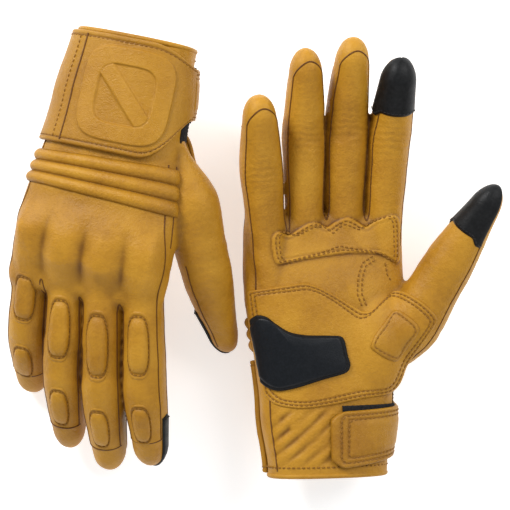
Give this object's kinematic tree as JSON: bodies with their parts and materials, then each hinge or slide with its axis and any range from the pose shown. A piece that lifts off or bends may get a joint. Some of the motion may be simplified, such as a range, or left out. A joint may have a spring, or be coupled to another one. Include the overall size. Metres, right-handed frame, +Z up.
{
  "type": "riding gloves",
  "caption": "Short leather riding gloves with wrist straps, padded fingers and palm sliders, laid side by side.",
  "frame": {"origin": "middle of the pair's footprint, on the surface that it lies on", "axes": "+X from the glove lying palm down to the one lying palm up, +Y towards the fingertips of the one lying palm up, +Z up"},
  "size_m": [0.2864, 0.2646, 0.0828],
  "materials": {
    "tan_leather": "worn, grained",
    "overlay_leather": "grained",
    "black_leather": "smooth",
    "slider": "coated",
    "moulded_guard": "matte"
  },
  "bodies": {
    "glove1_hand": {"glove1_back_panel": "tan_leather", "glove1_knuckle_guard": "moulded_guard", "glove1_palm_panel": "tan_leather", "glove1_cuff_sleeve": "tan_leather", "glove1_stretch_ribs": "tan_leather", "glove1_cuff_flap": "overlay_leather", "glove1_heel_overlay": "overlay_leather", "glove1_palm_slider": "slider", "glove1_thumb_base_pad": "overlay_leather", "glove1_grip_overlay": "overlay_leather", "glove1_thumb_base_sleeve": "tan_leather"},
    "glove1_strap": {"glove1_strap_tab": "overlay_leather"},
    "glove1_thumb": {"glove1_thumb_sleeve": "tan_leather", "glove1_thumb_touch_patch": "black_leather"},
    "glove1_index_near": {"glove1_index_near_sleeve": "tan_leather", "glove1_index_near_pad": "overlay_leather"},
    "glove1_index_far": {"glove1_index_far_sleeve": "tan_leather", "glove1_index_far_pad": "overlay_leather", "glove1_index_touch_patch": "black_leather"},
    "glove1_middle_near": {"glove1_middle_near_sleeve": "tan_leather", "glove1_middle_near_pad": "overlay_leather"},
    "glove1_middle_far": {"glove1_middle_far_sleeve": "tan_leather", "glove1_middle_far_pad": "overlay_leather"},
    "glove1_ring_near": {"glove1_ring_near_sleeve": "tan_leather", "glove1_ring_near_pad": "overlay_leather"},
    "glove1_ring_far": {"glove1_ring_far_sleeve": "tan_leather", "glove1_ring_far_pad": "overlay_leather"},
    "glove1_little_near": {"glove1_little_near_sleeve": "tan_leather", "glove1_little_near_pad": "overlay_leather"},
    "glove1_little_far": {"glove1_little_far_sleeve": "tan_leather"},
    "glove2_hand": {"glove2_back_panel": "tan_leather", "glove2_knuckle_guard": "moulded_guard", "glove2_palm_panel": "tan_leather", "glove2_cuff_sleeve": "tan_leather", "glove2_stretch_ribs": "tan_leather", "glove2_cuff_flap": "overlay_leather", "glove2_heel_overlay": "overlay_leather", "glove2_palm_slider": "slider", "glove2_thumb_base_pad": "overlay_leather", "glove2_grip_overlay": "overlay_leather", "glove2_thumb_base_sleeve": "tan_leather"},
    "glove2_strap": {"glove2_strap_tab": "overlay_leather"},
    "glove2_thumb": {"glove2_thumb_sleeve": "tan_leather", "glove2_thumb_touch_patch": "black_leather"},
    "glove2_index_near": {"glove2_index_near_sleeve": "tan_leather", "glove2_index_near_pad": "overlay_leather"},
    "glove2_index_far": {"glove2_index_far_sleeve": "tan_leather", "glove2_index_far_pad": "overlay_leather", "glove2_index_touch_patch": "black_leather"},
    "glove2_middle_near": {"glove2_middle_near_sleeve": "tan_leather", "glove2_middle_near_pad": "overlay_leather"},
    "glove2_middle_far": {"glove2_middle_far_sleeve": "tan_leather", "glove2_middle_far_pad": "overlay_leather"},
    "glove2_ring_near": {"glove2_ring_near_sleeve": "tan_leather", "glove2_ring_near_pad": "overlay_leather"},
    "glove2_ring_far": {"glove2_ring_far_sleeve": "tan_leather", "glove2_ring_far_pad": "overlay_leather"},
    "glove2_little_near": {"glove2_little_near_sleeve": "tan_leather", "glove2_little_near_pad": "overlay_leather"},
    "glove2_little_far": {"glove2_little_far_sleeve": "tan_leather"}
  },
  "joints": [
    {"name": "glove1_index_knuckle", "type": "hinge", "parent": "glove1_hand", "child": "glove1_index_near", "pos_m": [-0.06639, -0.02439, 0.06106], "axis": [0.9699, -0.0462, 0.2389], "range_deg": [-11, 65]},
    {"name": "glove1_index_middle", "type": "hinge", "parent": "glove1_index_near", "child": "glove1_index_far", "pos_m": [-0.06628, -0.07928, 0.04997], "axis": [0.9699, -0.0462, 0.2389], "range_deg": [-15, 73]},
    {"name": "glove1_middle_knuckle", "type": "hinge", "parent": "glove1_hand", "child": "glove1_middle_near", "pos_m": [-0.08918, -0.02261, 0.05645], "axis": [0.9674, -0.081, 0.2401], "range_deg": [-13, 63]},
    {"name": "glove1_middle_middle", "type": "hinge", "parent": "glove1_middle_near", "child": "glove1_middle_far", "pos_m": [-0.0905, -0.08086, 0.0421], "axis": [0.9674, -0.081, 0.2401], "range_deg": [-17, 71]},
    {"name": "glove1_ring_knuckle", "type": "hinge", "parent": "glove1_hand", "child": "glove1_ring_near", "pos_m": [-0.11024, -0.01507, 0.04989], "axis": [0.9625, -0.1244, 0.2412], "range_deg": [-13, 63]},
    {"name": "glove1_ring_middle", "type": "hinge", "parent": "glove1_ring_near", "child": "glove1_ring_far", "pos_m": [-0.11374, -0.06919, 0.03593], "axis": [0.9625, -0.1244, 0.2412], "range_deg": [-19, 69]},
    {"name": "glove1_little_knuckle", "type": "hinge", "parent": "glove1_hand", "child": "glove1_little_near", "pos_m": [-0.12868, -0.00297, 0.04219], "axis": [0.9526, -0.1846, 0.2419], "range_deg": [-15, 61]},
    {"name": "glove1_little_middle", "type": "hinge", "parent": "glove1_little_near", "child": "glove1_little_far", "pos_m": [-0.13347, -0.04473, 0.02917], "axis": [0.9526, -0.1846, 0.2419], "range_deg": [-23, 65]},
    {"name": "glove1_thumb_middle", "type": "hinge", "parent": "glove1_hand", "child": "glove1_thumb", "pos_m": [-0.03434, 0.00167, 0.04693], "axis": [0.963, 0.145, 0.2273], "range_deg": [-5, 53]},
    {"name": "glove1_strap_hinge", "type": "hinge", "parent": "glove1_hand", "child": "glove1_strap", "pos_m": [-0.03637, 0.08884, 0.06355], "axis": [-0.2079, -0.9781, 0], "range_deg": [0, 100]},
    {"name": "glove2_index_knuckle", "type": "hinge", "parent": "glove2_hand", "child": "glove2_index_near", "pos_m": [0.07148, 0.01302, 0.02296], "axis": [0.9871, -0.0351, -0.1562], "range_deg": [-9, 67]},
    {"name": "glove2_index_middle", "type": "hinge", "parent": "glove2_index_near", "child": "glove2_index_far", "pos_m": [0.07518, 0.06779, 0.03401], "axis": [0.9871, -0.0351, -0.1562], "range_deg": [-19, 69]},
    {"name": "glove2_middle_knuckle", "type": "hinge", "parent": "glove2_hand", "child": "glove2_middle_near", "pos_m": [0.04846, 0.01562, 0.02559], "axis": [0.9877, -0.0002, -0.1564], "range_deg": [-7, 69]},
    {"name": "glove2_middle_middle", "type": "hinge", "parent": "glove2_middle_near", "child": "glove2_middle_far", "pos_m": [0.05008, 0.07473, 0.03572], "axis": [0.9877, -0.0002, -0.1564], "range_deg": [-17, 71]},
    {"name": "glove2_ring_knuckle", "type": "hinge", "parent": "glove2_hand", "child": "glove2_ring_near", "pos_m": [0.02586, 0.01222, 0.03019], "axis": [0.9867, 0.0434, -0.1564], "range_deg": [-7, 69]},
    {"name": "glove2_ring_middle", "type": "hinge", "parent": "glove2_ring_near", "child": "glove2_ring_far", "pos_m": [0.02499, 0.06734, 0.04002], "axis": [0.9867, 0.0434, -0.1564], "range_deg": [-15, 73]},
    {"name": "glove2_little_knuckle", "type": "hinge", "parent": "glove2_hand", "child": "glove2_little_near", "pos_m": [0.00486, 0.00385, 0.03607], "axis": [0.9823, 0.1043, -0.1558], "range_deg": [-9, 67]},
    {"name": "glove2_little_middle", "type": "hinge", "parent": "glove2_little_near", "child": "glove2_little_far", "pos_m": [0.00184, 0.04668, 0.04569], "axis": [0.9823, 0.1043, -0.1558], "range_deg": [-15, 73]},
    {"name": "glove2_thumb_middle", "type": "hinge", "parent": "glove2_hand", "child": "glove2_thumb", "pos_m": [0.10232, -0.01934, 0.03026], "axis": [0.864, -0.485, -0.1355], "range_deg": [-7, 51]},
    {"name": "glove2_strap_hinge", "type": "hinge", "parent": "glove2_hand", "child": "glove2_strap", "pos_m": [0.07954, -0.10386, 0.021], "axis": [-0.0175, 0.9998, 0], "range_deg": [0, 100]},
    {"name": "glove2_apart", "type": "slide", "parent": "glove1_hand", "child": "glove2_hand", "axis": [1, 0, 0], "range_m": [0, 0.1]}
  ]
}
